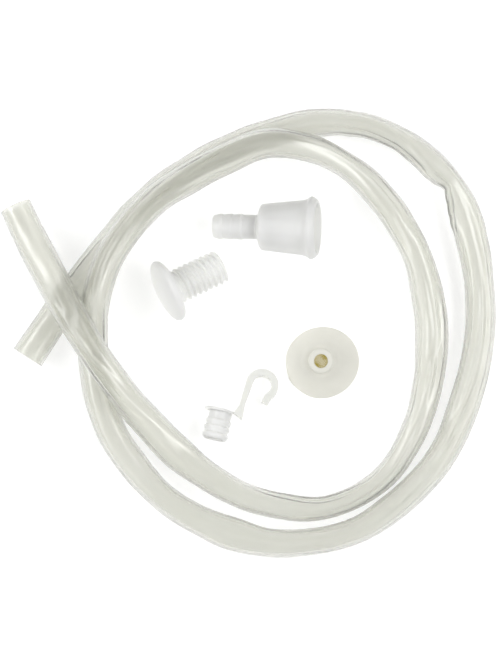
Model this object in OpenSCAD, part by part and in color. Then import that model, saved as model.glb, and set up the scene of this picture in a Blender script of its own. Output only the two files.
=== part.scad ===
// Ear-washing hose kit, laid out on a table: a soft clear hose in two loose
// turns, and inside them a hose connector, a threaded stopper, a hook plug on
// its living hinge, and a rubber ear cup.
// Millimetres, +Z up. Everything lies on the plane z = 0, and the origin is
// under the middle of the four fittings.

/* [Hose] */
// Outside diameter of the hose
hose_od = 10; // [9:0.5:10]
// Wall thickness of the hose
hose_wall = 1; // [0.6:0.1:1.5]

/* [Connector] */
// Overall length, from the tip of the barbed tail to the mouth
connector_len = 35.2; // [33:0.1:38]
// Diameter of the rim round the mouth
connector_rim_d = 21; // [20:0.1:22]
// Diameter of the barrel where it meets the tail
connector_shoulder_d = 15.5; // [14.5:0.1:16.5]
// Diameter over the barbs of the tail
connector_barb_d = 8.7; // [8.4:0.1:9]
// Diameter of the straight socket inside the barrel
connector_socket_d = 13; // [11:0.1:13.4]

/* [Stopper] */
// Diameter of the domed flange
stopper_flange_d = 21.6; // [19:0.1:23]
// Diameter over the crests of the thread
stopper_thread_d = 11.6; // [10:0.1:12.5]
// Length from the top of the dome to the end of the thread
stopper_len = 22.6; // [20:0.1:24]
// Pitch of the thread
stopper_pitch = 2; // [1.8:0.1:2.4]

/* [Hook plug] */
// Diameter over the ribs of the plug
plug_rib_d = 8.8; // [8.4:0.1:9]
// Length of the plug below its flange
plug_len = 10.3; // [9.5:0.1:12]
// Diameter of the flange
plug_flange_d = 9.5; // [9.2:0.1:9.8]
// Inside diameter of the hook's loop
hook_gap_d = 6.2; // [5.6:0.1:6.4]
// Width of the hook across its flat strip
hook_width = 4.4; // [3:0.1:5]

/* [Ear cup] */
// Diameter of the cup's soft edge
cup_d = 24.4; // [22:0.1:26]
// Height of the cup, nipple included
cup_h = 9.8; // [8.5:0.1:12]
// Outside diameter of the nipple
cup_nipple_d = 8.3; // [7.8:0.1:8.6]
// Diameter of the hole through the nipple
cup_hole_d = 4.6; // [3.5:0.1:5]

/* [Hidden] */

$fn = 64;

// --- Hose: its centreline, end to end. The straight cut ends are the first and
// last stretches. It lies on the table, and rises only to pass over itself.
hose_route = [
    [-79.5, 37.5, 5.5], [-75, 28, 7], [-67.5, 14, 12.5], [-59, -1, 18.5], [-48.5, -17.5, 15.5],
    [-36, -34, 9], [-20, -49, 5.3], [0, -60, 5], [21.5, -63, 5], [40.5, -54.5, 5],
    [51.5, -39.5, 5], [58, -20, 5], [59, 2, 5], [52.5, 25, 5], [40, 44.5, 6],
    [24.5, 55.5, 11], [6, 58.5, 15.3], [-12.5, 52.5, 15.5], [-30, 42, 15.5], [-43.5, 28, 15.5],
    [-51, 11.5, 14], [-53.5, -7, 6.5], [-51.5, -27, 5], [-42.5, -47, 5], [-27, -63, 5],
    [-6, -72.5, 5], [16, -74.5, 5], [38.5, -68.5, 5], [60.5, -49, 5], [72.5, -22.5, 5],
    [76, 6.5, 5], [70, 35, 5], [51.5, 57, 5], [24, 65.5, 5], [0, 60.5, 5],
    [-21, 48.5, 5], [-40.5, 34, 5], [-56.5, 15.5, 5], [-69.5, -4.5, 5], [-75, -13, 5]
];
hose_sides = 12;
hose_rings_per_step = 2;
hose_r = hose_od / 2;
hose_bore_r = hose_r - hose_wall;

// --- Connector, along its own axis from the tip of the tail (z = 0)
tail_core_r = 4.05;
tail_tip_r = 3.7;
tail_bore_r = 2.5;
tail_len = 14.9;
barb_ends = [3, 6.3, 9.8];
barb_land = 0.6;
barb_ramp = 2.2;
barrel_start = 16.5;
barrel_end = connector_len - 4.8;
barrel_end_r = 9.2;
rim_z = connector_len - 2.2;
rim_half_w = 0.3;
mouth_r = 8.3;
mouth_depth = 6;
socket_floor = 18.6;
connector_at = [-13.5, 30.9];
connector_heading = -1.1;
// It rests on its rim and on the corner where the barrel starts
connector_slope = (connector_rim_d - connector_shoulder_d) / 2 / (rim_z - rim_half_w - barrel_start);
connector_lean = atan(connector_slope);
connector_height = (connector_shoulder_d / 2 - barrel_start * connector_slope) * cos(connector_lean);

// --- Stopper, along its own axis from the top of the dome (z = 0)
flange_edge_z = 2.6;
flange_back_z = 3.6;
flange_edge_r = 0.9;
thread_start = 6;
thread_chamfer = 0.5;
thread_depth = 1;
thread_root_w = 0.5;
thread_top_w = 1.5;
thread_steps = 24;
thread_overshoot = 0.4;
stopper_at = [-30.85, 8.2];
stopper_heading = 25.5;
// It rests on the edge of its flange and on the end of its thread
stopper_slope = (stopper_flange_d - stopper_thread_d) / 2 / (stopper_len - thread_chamfer - flange_edge_z);
stopper_lean = atan(stopper_slope);
stopper_height = (stopper_flange_d / 2 + flange_edge_z * stopper_slope) * cos(stopper_lean);

// --- Hook plug: x is across the plug and y along it, with the origin on the top
// of the flange beside the living hinge, the plug below it and the hook above
plug_x = -3.6;
flange_x = -4.5;
flange_t = 1;
plug_core_r = 3.85;
plug_bore_r = 3;
plug_floor_t = 1.3;
rib_ends = [1.8, 4.1, 6.4];
rib_land = 0.6;
rib_ramp = 1.2;
web_t = 0.4;
web_x = 0.3;
hinge_at = [0.6, 0];
hinge_r = 0.2;
hook_centre = [7.5, 11.1];
hook_inner_r = hook_gap_d / 2;
hook_outer_r = hook_inner_r + 2.4;
plug_at = [-7.3, -31.1];
plug_heading = -14;
// It rests on the edge of its flange and on the far edge of the hook's loop
plug_dip = atan((plug_flange_d - hook_width) / 2 / (hook_centre[1] + hook_outer_r));
plug_height = plug_flange_d / 2 * cos(plug_dip);

// --- Ear cup
cup_at = [22.3, -14];
cup_bore_start = 4.1;

// ---------------------------------------------------------------- functions

function unit(v) = v / norm(v);

// The point at t, from 0 to 1, on the smooth curve from b to c
function on_curve(a, b, c, d, t) =
    (2 * b + (c - a) * t + (2 * a - 5 * b + 4 * c - d) * t * t + (3 * b - a - 3 * c + d) * t * t * t) / 2;

// The same point, but never so low that the hose would sink into the table
function on_table(p) = [p[0], p[1], max(p[2], hose_r)];

function route_points(p, steps) = [
    for (i = [1 : len(p) - 3], k = [0 : steps - 1])
        on_table(on_curve(p[i - 1], p[i], p[i + 1], p[i + 2], k / steps)),
    p[len(p) - 2]
];

// The hose's direction at each point; the two ends follow the straight cut ends
function route_directions(c, first, last) = [
    for (i = [0 : len(c) - 1])
        i == 0 ? first : i == len(c) - 1 ? last : unit(c[i + 1] - c[i - 1])
];

function ring(centre, direction, r) =
    let (side = unit(cross([0, 0, 1], direction)), up = cross(direction, side))
    [for (k = [0 : hose_sides - 1])
        centre + r * (cos(360 * k / hose_sides) * side + sin(360 * k / hose_sides) * up)];

// Triangles of the wall between ring i and the next, in a list that starts at base
function wall(base, i, flip) = [
    for (k = [0 : hose_sides - 1])
        let (
            a = base + i * hose_sides + k,
            b = base + i * hose_sides + (k + 1) % hose_sides,
            tri = [[a, b, b + hose_sides], [a, b + hose_sides, a + hose_sides]]
        )
        for (t = tri) flip ? [t[2], t[1], t[0]] : t
];

// Triangles of the flat ring at one end, between the outer and the inner wall
function end_face(outer, inner, flip) = [
    for (k = [0 : hose_sides - 1])
        let (
            next = (k + 1) % hose_sides,
            tri = [
                [outer + k, inner + k, inner + next],
                [outer + k, inner + next, outer + next]
            ]
        )
        for (t = tri) flip ? [t[2], t[1], t[0]] : t
];

// ------------------------------------------------------------------ helpers

// Puts a shape that runs along +Z between two points
module along(from, to) {
    d = to - from;
    translate(from)
        rotate([0, acos(d[2] / norm(d)), atan2(d[1], d[0])])
            children();
}

// Lays a shape that is round about +Z on its side, its axis rising by lean
module lie(at, height, heading, lean) {
    translate([at[0], at[1], height])
        rotate([0, 90 - lean, heading])
            children();
}

// Lays the hook plug down, hook end lowest
module lie_plug() {
    translate([plug_at[0], plug_at[1], plug_height])
        rotate([-plug_dip, 0, plug_heading])
            children();
}

// A straight cut end of the hose, with its round bore
module hose_stub(joint, mouth) {
    along(joint, mouth)
        difference() {
            cylinder(h = norm(mouth - joint), r = hose_r);
            translate([0, 0, -1])
                cylinder(h = norm(mouth - joint) + 2, r = hose_bore_r);
        }
}

// The profile of ribs for pushing into a bore, as [radius, length] points from
// the end that goes in first: each rises along a ramp and ends in a short land
function ribs(ends, top_r, core_r, land, ramp) = [
    for (e = ends)
        for (p = [[core_r, e - land - ramp], [top_r, e - land], [top_r, e], [core_r, e + 0.4]]) p
];

// ------------------------------------------------------------------ sub-parts

module hose() {
    last = len(hose_route) - 1;
    centres = route_points(hose_route, hose_rings_per_step);
    directions = route_directions(
        centres,
        unit(hose_route[1] - hose_route[0]),
        unit(hose_route[last] - hose_route[last - 1])
    );
    n = len(centres);
    inner = n * hose_sides;
    outside = [for (i = [0 : n - 1]) each ring(centres[i], directions[i], hose_r)];
    inside = [for (i = [0 : n - 1]) each ring(centres[i], directions[i], hose_bore_r)];
    color([0.90, 0.90, 0.86, 0.6])
        polyhedron(
            points = concat(outside, inside),
            faces = concat(
                [for (i = [0 : n - 2]) each wall(0, i, false)],
                [for (i = [0 : n - 2]) each wall(inner, i, true)],
                end_face(0, inner, false),
                end_face((n - 1) * hose_sides, inner + (n - 1) * hose_sides, true)
            )
        );
}

module hose_end_a() {
    color([0.90, 0.90, 0.86, 0.6])
        hose_stub(hose_route[1], hose_route[0]);
}

module hose_end_b() {
    last = len(hose_route) - 1;
    color([0.90, 0.90, 0.86, 0.6])
        hose_stub(hose_route[last - 1], hose_route[last]);
}

module connector() {
    rim_r = connector_rim_d / 2;
    shoulder_r = connector_shoulder_d / 2;
    socket_r = connector_socket_d / 2;
    outside = concat(
        [[tail_bore_r, 0], [tail_tip_r, 0]],
        ribs(barb_ends, connector_barb_d / 2, tail_core_r, barb_land, barb_ramp),
        [
            [tail_core_r, tail_len], [shoulder_r - 0.5, barrel_start - 0.5], [shoulder_r, barrel_start],
            [barrel_end_r, barrel_end], [rim_r - 0.6, rim_z - 1], [rim_r, rim_z - rim_half_w],
            [rim_r, rim_z + rim_half_w], [rim_r - 0.4, rim_z + 1.2], [rim_r - 1.3, connector_len]
        ]
    );
    inside = [
        [mouth_r, connector_len], [mouth_r, connector_len - mouth_depth],
        [socket_r, connector_len - mouth_depth - 1], [socket_r, socket_floor],
        [tail_bore_r, socket_floor - 1.5]
    ];
    color([0.93, 0.94, 0.92, 0.85])
        lie(connector_at, connector_height, connector_heading, connector_lean)
            rotate_extrude()
                polygon(concat(outside, inside));
}

// One helical groove, cut from the end of the thread back to its start, where
// it runs out to nothing
module thread_groove() {
    crest_r = stopper_thread_d / 2 + thread_overshoot;
    turns = (stopper_len + stopper_pitch - thread_start) / stopper_pitch;
    steps = ceil(turns * thread_steps);
    sections = [
        for (i = [0 : steps])
            let (
                angle = 360 * i / thread_steps,
                z = thread_start + stopper_pitch * i / thread_steps,
                run = min(1, i / thread_steps),
                root_r = stopper_thread_d / 2 + 0.1 - (thread_depth + 0.1) * run
            )
            for (p = [
                [crest_r, -thread_top_w / 2], [root_r, -thread_root_w / 2],
                [root_r, thread_root_w / 2], [crest_r, thread_top_w / 2]
            ]) [p[0] * cos(angle), p[0] * sin(angle), z + p[1]]
    ];
    sides = [
        for (i = [0 : steps - 1], k = [0 : 3])
            let (a = 4 * i + k, b = 4 * i + (k + 1) % 4)
            for (t = [[a, a + 4, b + 4], [a, b + 4, b]]) t
    ];
    polyhedron(
        points = sections,
        faces = concat(sides, [[0, 1, 2, 3]], [[4 * steps + 3, 4 * steps + 2, 4 * steps + 1, 4 * steps]])
    );
}

module stopper() {
    edge_r = stopper_flange_d / 2;
    crest_r = stopper_thread_d / 2;
    body = [
        [0, 0], [4, 0.15], [7.2, 0.7], [edge_r - 1.1, 1.6], [edge_r - 0.25, 2.1], [edge_r, flange_edge_z],
        [edge_r - 0.2, 3.2], [edge_r - flange_edge_r, flange_back_z], [crest_r + 1.6, flange_back_z + 0.3],
        [crest_r, thread_start - 1.2], [crest_r, stopper_len - thread_chamfer],
        [crest_r - thread_chamfer, stopper_len], [0, stopper_len]
    ];
    color([0.95, 0.95, 0.93])
        lie(stopper_at, stopper_height, stopper_heading, -stopper_lean)
            difference() {
                rotate_extrude()
                    polygon(body);
                thread_groove();
            }
}

module hook_plug() {
    body_len = plug_len - flange_t;
    outside = concat(
        [[plug_bore_r, 0]],
        ribs(rib_ends, plug_rib_d / 2, plug_core_r, rib_land, rib_ramp),
        [[plug_core_r, body_len], [0, body_len]]
    );
    inside = [[0, body_len - plug_floor_t], [plug_bore_r, body_len - plug_floor_t]];
    color([0.94, 0.94, 0.92])
        lie_plug() {
            translate([plug_x, -plug_len, 0])
                rotate([-90, 0, 0])
                    rotate_extrude()
                        polygon(concat(outside, inside));
            translate([flange_x, -flange_t, 0])
                rotate([-90, 0, 0])
                    cylinder(h = flange_t, d = plug_flange_d);
            // The thin web of the living hinge
            translate([flange_x, -web_t, -hook_width / 2])
                cube([web_x - flange_x, web_t, hook_width]);
        }
}

module hook() {
    lug = [
        [hinge_at[0], -hinge_r], [3.95, -1.8], [3.55, 3.2], [4.6, 13.2], [2.33, 13], [1.7, 2.35],
        [hinge_at[0], hinge_r]
    ];
    tip = [
        [10.2, 9.4], [12.4, 8.9], [12.1, 8.2], [11.15, 6.5], [11.05, 5], [8.65, 5.4], [9.05, 7.8],
        [9.5, 8.9]
    ];
    reach = 2 * hook_outer_r;
    color([0.94, 0.94, 0.92])
        lie_plug()
            translate([0, 0, -hook_width / 2]) {
                linear_extrude(height = hook_width)
                    polygon(lug);
                linear_extrude(height = hook_width)
                    polygon(tip);
                // The rounded edge on the hinge's axis
                translate([hinge_at[0], hinge_at[1], 0])
                    cylinder(h = hook_width, r = hinge_r);
                linear_extrude(height = hook_width)
                    translate(hook_centre)
                        difference() {
                            circle(r = hook_outer_r);
                            circle(r = hook_inner_r);
                            // The loop is open from the strip round to the tip
                            polygon([
                                [0, 0],
                                reach * [cos(165), sin(165)],
                                reach * [cos(230), sin(230)],
                                reach * [cos(318), sin(318)]
                            ]);
                        }
            }
}

module ear_cup() {
    edge_r = cup_d / 2;
    nipple_r = cup_nipple_d / 2;
    hole_r = cup_hole_d / 2;
    profile = [
        [edge_r - 0.8, 0], [edge_r, 0], [edge_r, 0.5], [edge_r - 0.4, 0.9], [9.5, 2.2], [7, 3.9],
        [5.4, 5.8], [nipple_r, 6.3], [nipple_r, cup_h - 0.4], [nipple_r - 0.4, cup_h], [hole_r, cup_h],
        [hole_r, cup_bore_start], [4.4, 4], [6.5, 2.9], [9, 1.3]
    ];
    color([0.88, 0.87, 0.82])
        translate([cup_at[0], cup_at[1], 0])
            rotate_extrude()
                polygon(profile);
}

hose();
hose_end_a();
hose_end_b();
connector();
stopper();
hook_plug();
hook();
ear_cup();
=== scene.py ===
"""The visual model of an ear-washing hose kit: a soft clear hose in two loose turns, and inside them a hose
connector, a threaded stopper, a plug with a hook on a living hinge, and a rubber ear cup. Metres, +Z up."""
from math import atan, cos, exp, pi, radians, sin

import bmesh
import bpy
import numpy as np
from mathutils import Matrix, Vector, noise


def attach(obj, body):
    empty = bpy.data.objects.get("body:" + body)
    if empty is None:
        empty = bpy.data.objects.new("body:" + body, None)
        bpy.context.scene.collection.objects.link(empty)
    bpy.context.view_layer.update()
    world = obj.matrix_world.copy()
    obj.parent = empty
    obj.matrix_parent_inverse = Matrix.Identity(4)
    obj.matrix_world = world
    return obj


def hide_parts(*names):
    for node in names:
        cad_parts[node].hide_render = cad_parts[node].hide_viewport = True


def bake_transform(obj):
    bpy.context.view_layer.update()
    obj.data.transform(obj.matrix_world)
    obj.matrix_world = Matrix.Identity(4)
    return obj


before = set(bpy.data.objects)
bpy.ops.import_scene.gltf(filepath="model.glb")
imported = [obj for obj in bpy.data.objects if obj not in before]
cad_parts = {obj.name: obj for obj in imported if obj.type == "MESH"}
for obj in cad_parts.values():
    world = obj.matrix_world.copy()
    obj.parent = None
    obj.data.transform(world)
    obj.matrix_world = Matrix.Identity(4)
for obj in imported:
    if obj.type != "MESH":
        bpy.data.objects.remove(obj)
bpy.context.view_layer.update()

MM = 0.001
scene = bpy.context.scene

# ---------------------------------------------------------------- camera: straight down, a long lens
VIEW_CENTRE = (-1.33 * MM, -5.17 * MM)
VIEW_HEIGHT = 223 * MM
CAMERA_HEIGHT = 1.8
SCALE_PLANE = 5 * MM  # the middle of the hose where it lies on the table: the view is VIEW_HEIGHT tall here
SENSOR = 24
camera_data = bpy.data.cameras.new("camera")
camera = bpy.data.objects.new("camera", camera_data)
scene.collection.objects.link(camera)
camera.location = (VIEW_CENTRE[0], VIEW_CENTRE[1], CAMERA_HEIGHT)
camera_data.sensor_fit = "VERTICAL"
camera_data.sensor_height = SENSOR
camera_data.lens = SENSOR * (CAMERA_HEIGHT - SCALE_PLANE) / VIEW_HEIGHT
camera_data.clip_end = 10
scene.camera = camera
scene.view_settings.view_transform = "Standard"

# ---------------------------------------------------------------- materials


class Nodes:
    """Short names for building a node tree."""

    def __init__(self, name):
        self.material = bpy.data.materials.new(name)
        self.material.use_nodes = True
        self.tree = self.material.node_tree
        self.shader = self.tree.nodes["Principled BSDF"]

    def new(self, kind, links=None, **values):
        node = self.tree.nodes.new(kind)
        for key, value in values.items():
            if key in node.inputs:
                node.inputs[key].default_value = value
            else:
                setattr(node, key, value)
        for key, source in (links or {}).items():
            self.tree.links.new(source, node.inputs[key])
        return node

    def set(self, **values):
        for key, value in values.items():
            self.shader.inputs[key.replace("_", " ")].default_value = value

    def link(self, source, name):
        self.tree.links.new(source, self.shader.inputs[name])

    def ramp(self, source, stops):
        node = self.new("ShaderNodeValToRGB", {"Fac": source})
        for i, (at, colour) in enumerate(stops):
            e = node.color_ramp.elements[i] if i < 2 else node.color_ramp.elements.new(at)
            e.position = at
            e.color = (*colour, 1) if len(colour) == 3 else colour
        return node

    def bump(self, source, distance, strength):
        node = self.new("ShaderNodeBump", {"Height": source}, Strength=strength, Distance=distance)
        return node.outputs["Normal"]


def position(m):
    return m.new("ShaderNodeTexCoord").outputs["Object"]


HOSE_LIGHT = (0.98, 0.982, 0.945)
HOSE_DARK = (0.93, 0.932, 0.875)
STREAK_SCALE = (18, 420, 1)  # long along the hose, fine around it


def hose_material(name, clear, gloss):
    """Soft clear hose: milky, with draw lines along it; along and around are stored on the mesh, in metres."""
    m = Nodes(name)
    along = m.new("ShaderNodeAttribute", attribute_name="along")
    around = m.new("ShaderNodeAttribute", attribute_name="around")
    lines = m.new("ShaderNodeCombineXYZ", {"X": along.outputs["Fac"], "Y": around.outputs["Fac"]})
    stretched = m.new("ShaderNodeMapping", {"Vector": lines.outputs["Vector"]}, Scale=STREAK_SCALE)
    streaks = m.new("ShaderNodeTexNoise", {"Vector": stretched.outputs["Vector"]},
                    Scale=1, Detail=3, Roughness=0.55)
    cloud = m.new("ShaderNodeTexNoise", {"Vector": position(m)}, Scale=60, Detail=2)
    both = m.new("ShaderNodeMix", {"A": streaks.outputs["Fac"], "B": cloud.outputs["Fac"]}, Factor=0.35)
    colour = m.ramp(both.outputs["Result"], [(0.3, HOSE_DARK), (0.7, HOSE_LIGHT)])
    m.link(colour.outputs["Color"], "Base Color")
    rough = m.new("ShaderNodeMapRange", {"Value": streaks.outputs["Fac"]}, **{"To Min": 0.15, "To Max": 0.27})
    m.link(rough.outputs["Result"], "Roughness")
    m.link(m.bump(streaks.outputs["Fac"], 0.00008, 0.35), "Normal")
    m.set(IOR=1.42, Transmission_Weight=clear, Coat_Weight=gloss, Coat_Roughness=0.14, Coat_IOR=1.5)
    return m.material


def plastic_material(name, light, dark, roughness, transmission=0.0, scatter=0.8, reach=0.002,
                     grain=2700, bump=0.00003):
    """Moulded plastic with a faint cloudiness, a fine satin grain and a little light inside it. scatter is how
    much of the light goes in, and reach how far it gets, in metres."""
    m = Nodes(name)
    cloud = m.new("ShaderNodeTexNoise", {"Vector": position(m)}, Scale=170, Detail=3, Roughness=0.5)
    colour = m.ramp(cloud.outputs["Fac"], [(0.3, dark), (0.7, light)])
    m.link(colour.outputs["Color"], "Base Color")
    fine = m.new("ShaderNodeTexNoise", {"Vector": position(m)}, Scale=grain, Detail=2)
    rough = m.new("ShaderNodeMapRange", {"Value": fine.outputs["Fac"]},
                  **{"To Min": roughness - 0.06, "To Max": roughness + 0.08})
    m.link(rough.outputs["Result"], "Roughness")
    m.link(m.bump(fine.outputs["Fac"], bump, 0.6), "Normal")
    m.set(IOR=1.49, Transmission_Weight=transmission, Subsurface_Weight=scatter, Subsurface_Scale=reach)
    m.shader.inputs["Subsurface Radius"].default_value = (1.0, 1.0, 0.95)
    return m.material


CUP_CENTRE = (0.0223, -0.014)
FLOOR_PALE = (0.51, 0.51, 0.507)
FLOOR_DULL = (0.49, 0.49, 0.487)
FLOOR_GLOW = (0.70, 0.70, 0.695, 1)
# painted shade under the ear cup: a dark olive-tan floor colour and glow that stand in for the shade there and
# the light that comes through the rubber
UNDER_CUP_PAINTED_SHADE = (0.21, 0.17, 0.06, 1)
UNDER_CUP_PAINTED_GLOW = (0.24, 0.19, 0.02, 1)


def floor_material():
    """A pale table that glows like a light table, except in the closed space under the ear cup, where its colour
    and glow are painted a dark olive-tan: painted shade, tinted like the light that comes through the rubber."""
    m = Nodes("floor")
    paper = m.new("ShaderNodeTexNoise", {"Vector": position(m)}, Scale=300, Detail=2)
    colour = m.ramp(paper.outputs["Fac"], [(0.3, FLOOR_DULL), (0.7, FLOOR_PALE)])
    # the mask of the painted shade: 1 where the floor is closed in and near the ear cup
    open_sky = m.new("ShaderNodeAmbientOcclusion", Distance=0.03)
    closed = m.ramp(open_sky.outputs["AO"], [(0.07, (1, 1, 1)), (0.12, (0, 0, 0))])
    away = m.new("ShaderNodeVectorMath", {"Vector": position(m)}, operation="DISTANCE")
    away.inputs[1].default_value = (*CUP_CENTRE, 0)
    near = m.ramp(away.outputs["Value"], [(0.006, (1, 1, 1)), (0.008, (0, 0, 0))])
    both = {0: closed.outputs["Color"], 1: near.outputs["Color"]}
    under = m.new("ShaderNodeMath", both, operation="MULTIPLY")
    glow = m.new("ShaderNodeRGB")
    glow.outputs["Color"].default_value = FLOOR_GLOW
    # inside that mask, the plain colour and glow are swapped for the painted shade
    for target, plain, shaded in (("Base Color", colour, UNDER_CUP_PAINTED_SHADE), ("Emission Color", glow, UNDER_CUP_PAINTED_GLOW)):
        mix = m.new("ShaderNodeMix", data_type="RGBA")
        # in a colour mix, inputs 6 and 7 are the two colours and output 2 is the result
        m.tree.links.new(under.outputs["Value"], mix.inputs["Factor"])
        m.tree.links.new(plain.outputs["Color"], mix.inputs[6])
        mix.inputs[7].default_value = shaded
        m.link(mix.outputs[2], target)
    m.set(Roughness=0.9, Specular_IOR_Level=0.2, Emission_Strength=1.0)
    return m.material


# ---------------------------------------------------------------- mesh helpers


def add_mesh(name, vertices, faces, material, slot, body):
    """A smooth-shaded piece in the row frame, from vertices in millimetres."""
    mesh = bpy.data.meshes.new(name)
    mesh.from_pydata([Vector(v) * MM for v in vertices], [], faces)
    mesh.validate()
    mesh.update()
    mesh.materials.append(material)
    piece = bpy.data.objects.new(name, mesh)
    scene.collection.objects.link(piece)
    mesh.shade_smooth()
    if body:
        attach(piece, body)
    return piece


def sharpen(piece, degrees):
    """Keeps the shading break at edges that turn more than this."""
    piece.data.set_sharp_from_angle(angle=radians(degrees))


def outward(piece):
    """Turns every face's normal out of the solid."""
    b = bmesh.new()
    b.from_mesh(piece.data)
    bmesh.ops.recalc_face_normals(b, faces=b.faces)
    b.to_mesh(piece.data)
    b.free()


def rounded(profile, steps=4):
    """(radius, height, fillet) points to (radius, height) points, each corner cut to a small smooth arc."""
    out = []
    n = len(profile)
    for i, (r, z, f) in enumerate(profile):
        here = np.array((r, z))
        if f == 0 or i in (0, n - 1):
            out.append((r, z))
            continue
        before, after = np.array(profile[i - 1][:2]), np.array(profile[i + 1][:2])
        a, b = before - here, after - here
        cut_a, cut_b = min(f, 0.48 * np.linalg.norm(a)), min(f, 0.48 * np.linalg.norm(b))
        start, end = here + a / np.linalg.norm(a) * cut_a, here + b / np.linalg.norm(b) * cut_b
        for k in range(steps + 1):
            t = k / steps
            p = (1 - t) ** 2 * start + 2 * t * (1 - t) * here + t * t * end
            out.append((float(p[0]), float(p[1])))
    return out


def split_long(profile, longest):
    """Adds points along stretches longer than this, so that the mesh can carry small changes of radius."""
    out = [profile[0]]
    for a, b in zip(profile, profile[1:]):
        n = max(1, int(np.hypot(b[0] - a[0], b[1] - a[1]) / longest + 0.999))
        out += [(a[0] + (b[0] - a[0]) * k / n, a[1] + (b[1] - a[1]) * k / n) for k in range(1, n + 1)]
    return out


def lathe(profile, segments, change=None):
    """Vertices and faces of a profile turned about Z. change(r, z, angle) may move a point; a profile that
    starts or ends on the axis closes there, and otherwise its end joins its start."""
    vertices, rows = [], []
    for r, z in profile:
        if r < 1e-6:
            rows.append([len(vertices)])
            vertices.append((0, 0, z))
            continue
        rows.append([len(vertices) + k for k in range(segments)])
        for k in range(segments):
            a = 2 * pi * k / segments
            rr, zz = (r, z) if change is None else change(r, z, a)
            vertices.append((rr * cos(a), rr * sin(a), zz))
    if len(rows[0]) > 1 and len(rows[-1]) > 1:
        rows.append(rows[0])
    faces = []
    for low, high in zip(rows, rows[1:]):
        for k in range(segments):
            j = (k + 1) % segments
            if len(low) == 1 and len(high) == 1:
                continue
            if len(low) == 1:
                faces.append((low[0], high[j], high[k]))
            elif len(high) == 1:
                faces.append((low[k], low[j], high[0]))
            else:
                faces.append((low[k], low[j], high[j], high[k]))
    return vertices, faces


def placed(vertices, matrix):
    return [matrix @ Vector(v) for v in vertices]


def smooth_step(x):
    x = min(1.0, max(0.0, x))
    return x * x * (3 - 2 * x)


# ---------------------------------------------------------------- hose
# The same route as the CAD hose, in metres. Ten of its points, from (0.0605, -0.049) to (0.0515, 0.057) and from
# (0, 0.0605) to (-0.0695, -0.0045), were spaced by a script along a spline and not chosen by hand.
HOSE_ROUTE = [
    (-0.0795, 0.0375, 0.0055), (-0.075, 0.028, 0.007), (-0.0675, 0.014, 0.0125), (-0.059, -0.001, 0.0185),
    (-0.0485, -0.0175, 0.0155), (-0.036, -0.034, 0.009), (-0.02, -0.049, 0.0053), (0, -0.06, 0.005),
    (0.0215, -0.063, 0.005), (0.0405, -0.0545, 0.005), (0.0515, -0.0395, 0.005), (0.058, -0.02, 0.005),
    (0.059, 0.002, 0.005), (0.0525, 0.025, 0.005), (0.04, 0.0445, 0.006), (0.0245, 0.0555, 0.011),
    (0.006, 0.0585, 0.0153), (-0.0125, 0.0525, 0.0155), (-0.03, 0.042, 0.0155), (-0.0435, 0.028, 0.0155),
    (-0.051, 0.0115, 0.014), (-0.0535, -0.007, 0.0065), (-0.0515, -0.027, 0.005), (-0.0425, -0.047, 0.005),
    (-0.027, -0.063, 0.005), (-0.006, -0.0725, 0.005), (0.016, -0.0745, 0.005), (0.0385, -0.0685, 0.005),
    (0.0605, -0.049, 0.005), (0.0725, -0.0225, 0.005), (0.076, 0.0065, 0.005), (0.07, 0.035, 0.005),
    (0.0515, 0.057, 0.005), (0.024, 0.0655, 0.005), (0, 0.0605, 0.005), (-0.021, 0.0485, 0.005),
    (-0.0405, 0.034, 0.005), (-0.0565, 0.0155, 0.005), (-0.0695, -0.0045, 0.005), (-0.075, -0.013, 0.005),
]
HOSE_R = 5.0
HOSE_WALL = 1.0
RING_STEP = 1.3
HOSE_SIDES = 64

# How the soft hose gives along its length: (distance from end A, half width, shift to the left), mm. It is wider
# where it is pressed flat, narrower where it is squeezed, and it has kinked at 683. These rows weren't chosen by
# hand: a script measured them from the hose's edges in the reference photograph, and they were then rounded.
HOSE_SHAPE = [
    (0, 5.3, 0.1), (18, 5.6, 0), (34, 5.6, 0), (60, 5.0, -0.3), (74, 5.1, -0.1), (88, 5.4, 0.3), (102, 5.7, 0),
    (116, 4.9, -0.2), (130, 4.5, -0.3), (144, 4.4, 0), (158, 3.9, -0.3), (172, 3.95, -0.5), (186, 4.2, -0.7),
    (200, 4.6, -0.7), (214, 5.1, -0.3), (228, 5.6, 0.1), (242, 5.5, 0.2), (256, 4.9, -0.2), (270, 5.0, 0.3),
    (284, 4.9, 0.9), (298, 4.3, 1.1), (312, 4.7, 0.7), (326, 5.0, 0.1), (340, 5.3, 0.8), (354, 5.2, 1.0),
    (368, 5.0, 0.2), (382, 5.0, 0.3), (396, 4.9, -0.2), (410, 4.9, -0.3), (424, 5.1, -0.2), (438, 5.0, 0.1),
    (452, 5.1, 0.2), (466, 5.1, 0.9), (480, 4.6, 0.9), (494, 4.9, 0.9), (508, 5.6, 0.5), (522, 4.8, -0.1),
    (536, 4.5, 0), (550, 4.5, 0.2), (564, 4.8, 0.4), (592, 4.9, 0.3), (606, 5.3, 0.6), (634, 5.1, 0.5),
    (648, 5.0, 0.6), (662, 5.4, 0.6), (670, 5.5, 0.1), (675, 5.15, -0.6), (679, 4.5, -1.2), (683, 3.85, -1.8),
    (687, 4.5, -1.2), (691, 4.8, -0.9), (699, 4.55, -0.9), (707, 4.1, -1.1), (716, 4.2, -1.2), (724, 4.4, -0.6),
    (734, 4.8, 0.3), (746, 4.8, 0.7), (760, 5.0, 0.4), (774, 5.3, -0.6), (788, 5.4, -0.8), (802, 5.3, 0.1),
    (816, 5.0, 0.7), (830, 5.0, 0.6), (844, 5.2, -0.2), (862, 5.5, -0.5),
]
CREASE_DEPTH = 0.8  # a factor on the depths below

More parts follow.
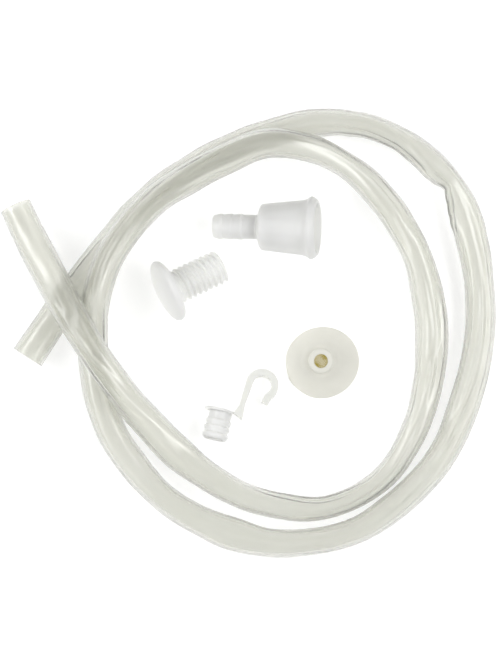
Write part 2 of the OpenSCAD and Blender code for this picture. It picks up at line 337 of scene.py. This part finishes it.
# Creases: (from, to, angle at the start, angle at the end, depth, half width), mm and degrees. Angle 0 is the
# left side of the hose, looking along it from end A, and 90 is its top.
CREASES = [
    (18, 62, 60, 96, 0.55, 1.0), (30, 78, 112, 70, 0.4, 0.9), (48, 96, 128, 100, 0.5, 1.1),
    (96, 150, 75, 100, 0.3, 1.5), (132, 176, 30, 55, 0.5, 1.0), (150, 214, 120, 92, 0.55, 0.9),
    (196, 262, 72, 84, 0.75, 1.0), (204, 246, 112, 124, 0.6, 0.9), (218, 236, 98, 92, 0.7, 1.1),
    (250, 318, 62, 100, 0.5, 1.0), (262, 330, 118, 122, 0.35, 0.9), (322, 372, 70, 100, 0.95, 1.1),
    (340, 400, 120, 80, 0.9, 1.0), (380, 432, 98, 60, 0.8, 1.0), (410, 470, 66, 104, 0.5, 1.1),
    (456, 520, 100, 80, 0.3, 1.3), (508, 566, 62, 98, 0.4, 1.0), (548, 606, 112, 88, 0.6, 0.9),
    (578, 622, 78, 110, 0.75, 0.9), (596, 668, 66, 86, 0.55, 0.9), (604, 690, 112, 104, 0.45, 0.9),
    (668, 688, 20, 62, 0.9, 1.0), (684, 716, 58, 110, 0.7, 1.0), (690, 742, 36, 70, 0.5, 0.9),
    (730, 796, 110, 84, 0.6, 1.1), (748, 800, 68, 62, 0.85, 0.9), (790, 846, 96, 110, 0.75, 1.0),
]
# Where the hose has kinked: (distance, angle, depth, half length along, half width round)
KINKS = [(684, 10, 0.7, 2.0, 2.6), (687, 60, 0.6, 3.5, 2.2), (606, 92, 0.6, 2.5, 2.0), (224, 96, 0.6, 3.0, 2.4)]


def on_curve(a, b, c, d, t):
    return (2 * b + (c - a) * t + (2 * a - 5 * b + 4 * c - d) * t**2 + (3 * b - a - 3 * c + d) * t**3) / 2


def hose_centreline():
    """Points every RING_STEP along the smooth curve through the route, mm, and their distances from end A."""
    p = np.array(HOSE_ROUTE) / MM
    p = np.vstack([2 * p[0] - p[1], p, 2 * p[-1] - p[-2]])
    fine = [on_curve(*p[i - 1:i + 3], t) for i in range(1, len(p) - 2) for t in np.arange(0, 1, 0.05)]
    fine = np.array([*fine, p[-2]])
    fine[:, 2] = np.maximum(fine[:, 2], HOSE_R)
    s = np.r_[0, np.cumsum(np.linalg.norm(np.diff(fine, axis=0), axis=1))]
    at = np.linspace(0, s[-1], int(s[-1] / RING_STEP) + 1)
    return np.stack([np.interp(at, s, fine[:, k]) for k in range(3)], 1), at


def smooth_table(table, s):
    """The table's columns at each distance, eased from row to row."""
    table = np.array(table, float)
    i = np.clip(np.searchsorted(table[:, 0], s) - 1, 0, len(table) - 2)
    t = np.clip((s - table[i, 0]) / (table[i + 1, 0] - table[i, 0]), 0, 1)[:, None]
    t = t * t * (3 - 2 * t)
    return table[i, 1:] * (1 - t) + table[i + 1, 1:] * t


def dent(s, angle):
    """How far the wall is pushed in at a distance and an angle in degrees, mm; below 0 on the ridges beside a
    crease."""
    total = 0.0
    for s0, s1, a0, a1, depth, half in CREASES:
        if not s0 < s < s1:
            continue
        t = (s - s0) / (s1 - s0)
        fade = sin(pi * t) ** 0.7
        off = radians(angle - (a0 + (a1 - a0) * smooth_step(t))) * HOSE_R / half
        total += CREASE_DEPTH * depth * fade * (exp(-off * off) - 0.45 * exp(-((abs(off) - 1.9) ** 2)))
    for at, a, depth, half_s, half_a in KINKS:
        ds = (s - at) / half_s
        da = radians((angle - a + 180) % 360 - 180) * HOSE_R / half_a
        if abs(ds) < 4:
            total += depth * exp(-ds * ds - da * da)
    return total


def make_hose():
    centres, s = hose_centreline()
    shape = smooth_table(HOSE_SHAPE, s)
    n = len(centres)
    ahead = np.gradient(centres, axis=0)
    ahead /= np.linalg.norm(ahead, axis=1)[:, None]
    side = np.cross((0, 0, 1), ahead)
    side /= np.linalg.norm(side, axis=1)[:, None]
    up = np.cross(ahead, side)
    middles, outer, inner = [], [], []
    for i in range(n):
        wide, shift = shape[i]
        high = min(5.1, max(4.5, HOSE_R + 0.5 * (HOSE_R - wide)))
        sag = np.array((0, 0, HOSE_R - high))
        middle = centres[i] + side[i] * shift - sag
        middles.append((centres[i] - sag) * MM)
        for k in range(HOSE_SIDES):
            a = 2 * pi * k / HOSE_SIDES
            ripple = 0.16 * noise.noise(Vector((s[i] / 14, 2.2 * cos(a), 2.2 * sin(a))))
            push = dent(s[i], 360 * k / HOSE_SIDES) - ripple * (0.4 + 0.6 * max(0.0, sin(a)))
            end = min(s[i], s[-1] - s[i])
            push *= smooth_step(end / 14)
            for ring, less in ((outer, 0.0), (inner, HOSE_WALL)):
                c, d = (wide - less - push) * cos(a), (high - less - push) * sin(a)
                ring.append(middle + side[i] * c + up[i] * d)
    vertices = outer + inner
    faces = []
    for i in range(n - 1):
        for k in range(HOSE_SIDES):
            j = (k + 1) % HOSE_SIDES
            a, b = i * HOSE_SIDES + k, i * HOSE_SIDES + j
            faces.append((a, b, b + HOSE_SIDES, a + HOSE_SIDES))
            a, b = a + n * HOSE_SIDES, b + n * HOSE_SIDES
            faces.append((a + HOSE_SIDES, b + HOSE_SIDES, b, a))
    # the cut ends: a flat ring from the outer wall to the bore
    for i, flip in ((0, False), (n - 1, True)):
        for k in range(HOSE_SIDES):
            j = (k + 1) % HOSE_SIDES
            o, p = i * HOSE_SIDES, (n + i) * HOSE_SIDES
            face = (o + k, p + k, p + j, o + j)
            faces.append(face[::-1] if flip else face)
    piece = add_mesh("clear_hose", vertices, faces, hose_material("milky_hose", 0.73, 0.3), "hose", "hose")
    piece.data.materials.append(hose_material("hose_bore", 1.0, 0.0))
    wall = 2 * (n - 1) * HOSE_SIDES
    piece.data.polygons.foreach_set("material_index", [int(i < wall and i % 2) for i in range(len(faces))])
    along = np.tile(np.repeat(s * MM, HOSE_SIDES), 2)
    # around runs up one side and down the other, so that the streaks have no seam
    turn = np.abs((np.arange(HOSE_SIDES) / HOSE_SIDES * 2 + 0.5) % 2 - 1)
    around = np.tile(turn * pi * HOSE_R * MM, 2 * n)
    for name, values in (("along", along), ("around", around)):
        attribute = piece.data.attributes.new(name, "FLOAT", "POINT")
        attribute.data.foreach_set("value", values.astype(np.float32))
    sharpen(piece, 50)
    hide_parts("hose", "hose_end_a", "hose_end_b")


make_hose()


# ---------------------------------------------------------------- where the fittings lie, as in the CAD model
def laid(x, y, height, heading, lean):
    """A shape that runs along +Z, laid on its side with its axis rising by lean."""
    return (Matrix.Translation((x, y, height)) @ Matrix.Rotation(radians(heading), 4, "Z")
            @ Matrix.Rotation(pi / 2 - lean, 4, "Y"))


CONNECTOR_SLOPE = (10.5 - 7.75) / (33 - 0.3 - 16.5)
CONNECTOR_LEAN = atan(CONNECTOR_SLOPE)
CONNECTOR_PLACE = laid(-13.5, 30.9, (7.75 - 16.5 * CONNECTOR_SLOPE) * cos(CONNECTOR_LEAN), -1.1, CONNECTOR_LEAN)
STOPPER_SLOPE = (10.8 - 5.8) / (22.6 - 0.5 - 2.6)
STOPPER_LEAN = atan(STOPPER_SLOPE)
STOPPER_PLACE = laid(-30.85, 8.2, (10.8 + 2.6 * STOPPER_SLOPE) * cos(STOPPER_LEAN), 25.5, -STOPPER_LEAN)
PLUG_DIP = atan((4.75 - 2.2) / (11.1 + 5.5))
PLUG_PLACE = (Matrix.Translation((-7.3, -31.1, 4.75 * cos(PLUG_DIP))) @ Matrix.Rotation(radians(-14), 4, "Z")
              @ Matrix.Rotation(-PLUG_DIP, 4, "X"))
CUP_PLACE = Matrix.Translation((CUP_CENTRE[0] / MM, CUP_CENTRE[1] / MM, 0))


def make_connector():
    barbs = []
    for end in (3.0, 6.3, 9.8):
        barbs += [(4.05, end - 2.8, 0.5), (4.35, end - 0.6, 0.3), (4.35, end, 0.25), (4.05, end + 0.4, 0.2)]
    outside = [(2.5, 0, 0.3), (3.7, 0, 0.5)] + barbs[1:] + [
        (4.05, 14.9, 0.5), (7.25, 16.0, 0.4), (7.75, 16.5, 0.6), (9.2, 30.4, 1.2), (9.9, 32.0, 0.5),
        (10.5, 32.7, 0.5), (10.5, 33.3, 0.5), (10.1, 34.2, 0.5), (9.2, 35.2, 0.5)]
    inside = [(8.3, 35.2, 0.4), (8.3, 29.2, 0.3), (6.5, 28.2, 0.3), (6.5, 18.6, 0.6), (2.5, 17.1, 0.4),
              (2.5, 0, 0.2)]
    profile = split_long(rounded(outside + inside), 1.0)

    def change(r, z, a):
        # shallow flutes run along the barrel, outside and in
        if 17.5 < z < 30 and r > 6:
            fade = smooth_step((z - 17.5) / 2) * smooth_step((30 - z) / 2)
            r += fade * 0.13 * (abs(sin(8 * a)) ** 0.6 - 0.6)
        return r, z

    vertices, faces = lathe(profile[:-1], 112, change)
    piece = add_mesh("hose_connector", placed(vertices, CONNECTOR_PLACE), faces, PP, "connector", "connector")
    sharpen(piece, 40)
    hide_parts("connector")


def make_stopper():
    pitch, root, crest = 2.0, 4.8, 5.8
    start, end = 5.2, 22.1
    flange = rounded([(0, 0, 0), (5, 0.1, 2), (8, 0.5, 1.5), (9.8, 1.15, 0.9), (10.6, 1.9, 0.6), (10.8, 2.6, 0.5),
                      (10.6, 3.3, 0.6), (9.9, 4.0, 0.9), (8.4, 4.3, 1.2), (6.4, 4.5, 0.5), (5.8, 5.0, 0)])
    shank = [(5.8, z) for z in np.arange(5.0, end + 0.01, 0.1)]
    tip = rounded([(5.8, end, 0), (5.5, 22.55, 0.3), (5.1, 22.6, 0.3), (0, 22.6, 0)])

    def change(r, z, a):
        if not start <= z <= end + 0.55 or r < 5:
            return r, z
        turn = ((z - 6.0) / pitch - a / (2 * pi)) % 1
        groove = 0.5 + 0.5 * cos(2 * pi * turn)
        groove = smooth_step(1.25 * groove)
        run_in = smooth_step((z - start) / 1.3)
        run_out = 1 - 0.7 * smooth_step((z - end + 0.2) / 0.7)
        return r - 0.9 * (crest - root) * groove * run_in * run_out * min(1.0, (r - 5) / 0.5), z

    vertices, faces = lathe(flange + shank + tip[1:], 112, change)
    piece = add_mesh("threaded_stopper", placed(vertices, STOPPER_PLACE), faces, WHITE, "stopper", "stopper")
    sharpen(piece, 60)
    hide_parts("stopper")


def joined(parts):
    """One list of vertices and one of faces, from several."""
    vertices, faces = [], []
    for v, f in parts:
        faces += [tuple(i + len(vertices) for i in face) for face in f]
        vertices += list(v)
    return vertices, faces


def make_plug():
    """The ribbed plug, open below and closed above, with its flange a little off its axis."""
    body_length, ceiling, core, bore = 9.3, 8.0, 3.85, 3.0
    ribs = []
    for end in (1.8, 4.1, 6.4):
        ribs += [(core, end - 1.8, 0.5), (4.4, end - 0.7, 0.4), (4.4, end, 0.3), (core, end + 0.4, 0.25)]
    hollow = [(0, ceiling, 0), (bore, ceiling, 0.5), (bore, 0, 0.2)]
    outline = hollow + ribs + [(core, body_length, 0), (0, body_length, 0)]
    disc = [(0, 0, 0), (4.55, 0, 0.25), (4.75, 0.3, 0.25), (4.75, 0.75, 0.25), (4.5, 1.0, 0.3), (0, 1.12, 0)]
    parts = []
    for profile, x, y in ((outline, -3.6, -10.3), (disc, -4.5, -1.0)):
        vertices, faces = lathe(rounded(profile), 80)
        stand = Matrix.Translation((x, y, 0)) @ Matrix.Rotation(-pi / 2, 4, "X")
        parts.append((placed(vertices, PLUG_PLACE @ stand), faces))
    piece = add_mesh("ribbed_plug", *joined(parts), PE, "plug", "hook_plug")
    sharpen(piece, 40)
    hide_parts("hook_plug")


def arc(centre, radius, start, end, n):
    angles = np.radians(np.linspace(start, end, n))
    return [(centre[0] + radius * cos(t), centre[1] + radius * sin(t)) for t in angles]


def make_hook():
    """A flat strip from the hinge's lug up and round the loop: pairs of points on its two sides, each pair one
    rounded cross-section."""
    centre, inner_r, outer_r = (7.5, 11.1), 3.1, 5.5
    half, edge, turns = 2.2, 0.32, 4
    outer = [(0.6, 0.17), (1.05, 1.05), (1.5, 2.0), (1.68, 2.5), (1.74, 3.2), (1.8, 4.4), (1.88, 6.6), (2.0, 9.6)]
    inner = [(0.6, -0.17), (2.2, -0.95), (3.85, -1.72), (3.84, -0.4), (3.7, 1.3), (3.62, 3.3), (3.85, 6.0),
             (4.25, 9.2)]
    outer += arc(centre, outer_r, 170, -30, 34)
    inner += arc(centre, inner_r, 174, -38, 34)
    outer += [(11.7, 7.5), (11.25, 6.6), (11.12, 5.6), (11.0, 5.1)]
    inner += [(9.45, 8.6), (9.05, 7.6), (8.78, 6.4), (8.72, 5.5)]
    rows = []
    for o, i in zip(np.array(outer), np.array(inner)):
        across = i - o
        width = np.linalg.norm(across)
        across /= width
        r = min(edge, 0.3 * width)
        corners = ((r, half - r, 90), (width - r, half - r, 0), (width - r, r - half, -90), (r, r - half, -180))
        row = []
        for u, z, start in corners:
            for k in range(turns):
                t = radians(start + 90 - 90 * k / (turns - 1))
                x, y = o + across * (u + r * cos(t))
                row.append((x, y, z + r * sin(t)))
        rows.append(row)
    n = len(rows[0])
    faces = [(a * n + k, a * n + (k + 1) % n, (a + 1) * n + (k + 1) % n, (a + 1) * n + k)
             for a in range(len(rows) - 1) for k in range(n)]
    faces += [tuple(range(n))[::-1], tuple((len(rows) - 1) * n + k for k in range(n))]
    vertices = [v for row in rows for v in row]
    piece = add_mesh("plug_hook", placed(vertices, PLUG_PLACE), faces, PE_STRIP, "plug", "hook")
    outward(piece)
    sharpen(piece, 38)
    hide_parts("hook")


def make_hinge_web():
    """The thin web that bends: a strip from under the plug's flange to the edge of the hook's lug."""
    steps, start_x, end_x, middle_y = 12, 0.05, 0.78, -0.16
    rows = []
    for i in range(steps + 1):
        t = i / steps
        thick = 0.15 - 0.06 * sin(pi * t)
        half = 2.15 - 0.12 * sin(pi * t)
        x = start_x + (end_x - start_x) * t
        y = middle_y + 0.12 * smooth_step(t)
        rows.append([(x, y - thick, -half), (x, y - thick, half), (x, y + thick, half), (x, y + thick, -half)])
    faces = [(4 * a + k, 4 * a + (k + 1) % 4, 4 * a + 4 + (k + 1) % 4, 4 * a + 4 + k)
             for a in range(steps) for k in range(4)]
    faces += [(3, 2, 1, 0), tuple(4 * steps + k for k in range(4))]
    vertices = [v for row in rows for v in row]
    piece = add_mesh("hinge_web", placed(vertices, PLUG_PLACE), faces, PE, "plug", None)
    outward(piece)
    sharpen(piece, 40)
    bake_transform(piece)


def make_cup():
    profile = split_long(rounded([
        (11.4, 0, 0.2), (12.2, 0, 0.35), (12.2, 0.5, 0.3), (11.8, 0.9, 0.5), (9.5, 2.2, 1.2), (7, 3.9, 1.2),
        (5.4, 5.8, 0.8), (4.15, 6.3, 0.4), (4.15, 9.4, 0.3), (3.75, 9.8, 0.3), (2.3, 9.8, 0.35), (2.3, 4.1, 0.3),
        (4.4, 4.0, 0.6),
        (6.5, 2.9, 0.8), (9, 1.3, 0.8), (11.4, 0, 0)]), 0.9)

    def change(r, z, a):
        # the soft skirt isn't quite round: it is flatter to the left and below left
        low = smooth_step((r - 5) / 7)
        out = 0.025 * cos(2 * (a - 0.35)) - 0.035 * exp(-((a - radians(190)) / 0.35) ** 2)
        out -= 0.03 * exp(-((a - radians(232)) / 0.3) ** 2)
        return r * (1 + low * out), z

    vertices, faces = lathe(profile[:-1], 128, change)
    moved = []
    for x, y, z in vertices:
        low = smooth_step((np.hypot(x, y) - 4.5) / 7)
        moved.append((x + 0.4 * low, y - 0.6 * low, z))
    piece = add_mesh("soft_ear_cup", placed(moved, CUP_PLACE), faces, RUBBER, "cup", "ear_cup")
    sharpen(piece, 50)
    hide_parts("ear_cup")


MILKY_WHITE = ((0.985, 0.987, 0.955), (0.965, 0.968, 0.93))
PP = plastic_material("frosted_white", *MILKY_WHITE, roughness=0.34, transmission=0.06, reach=0.005)
WHITE = plastic_material("satin_white", (0.965, 0.967, 0.93), (0.95, 0.952, 0.915), roughness=0.38, reach=0.006)
PE = plastic_material("soft_white", *MILKY_WHITE, roughness=0.4, scatter=0.7)
PE_STRIP = plastic_material("soft_white_strip", (0.885, 0.89, 0.855), (0.86, 0.865, 0.825), roughness=0.4,
                            scatter=0.5, reach=0.001)
RUBBER = plastic_material("ivory_rubber", (0.85, 0.84, 0.775), (0.82, 0.81, 0.74), roughness=0.55,
                          scatter=0.15, grain=3600, bump=0.00005)
make_connector()
make_stopper()
make_plug()
make_hook()
make_hinge_web()
make_cup()

# ---------------------------------------------------------------- floor and light
floor_mesh = bpy.data.meshes.new("floor")
FLOOR_HALF = 3
FLOOR_GAP = 0.1 * MM  # keeps the table's face clear of what lies on it
corners = [(x * FLOOR_HALF, y * FLOOR_HALF, 0) for x, y in ((-1, -1), (1, -1), (1, 1), (-1, 1))]
floor_mesh.from_pydata(corners, [], [(0, 1, 2, 3)])
floor_mesh.materials.append(floor_material())
floor = bpy.data.objects.new("floor", floor_mesh)
floor.location.z = -FLOOR_GAP
scene.collection.objects.link(floor)


def softbox(name, place, size, watts):
    data = bpy.data.lights.new(name, "AREA")
    data.shape = "RECTANGLE"
    data.size, data.size_y = size
    data.energy = watts
    light = bpy.data.objects.new(name, data)
    scene.collection.objects.link(light)
    light.location = place
    light.rotation_euler = (-Vector(place)).to_track_quat("-Z", "Y").to_euler()


SOFTBOX_SIZE = (1.1, 0.36)
SOFTBOX_WATTS = 7.6
softbox("softbox_right", (0.75, 0, 0.95), SOFTBOX_SIZE, SOFTBOX_WATTS)
softbox("softbox_left", (-0.9, 0, 0.85), SOFTBOX_SIZE, SOFTBOX_WATTS)
world = bpy.data.worlds.new("studio")
world.use_nodes = True
background = world.node_tree.nodes["Background"]
background.inputs["Color"].default_value = (0.93, 0.935, 0.92, 1)
background.inputs["Strength"].default_value = 0.3
scene.world = world
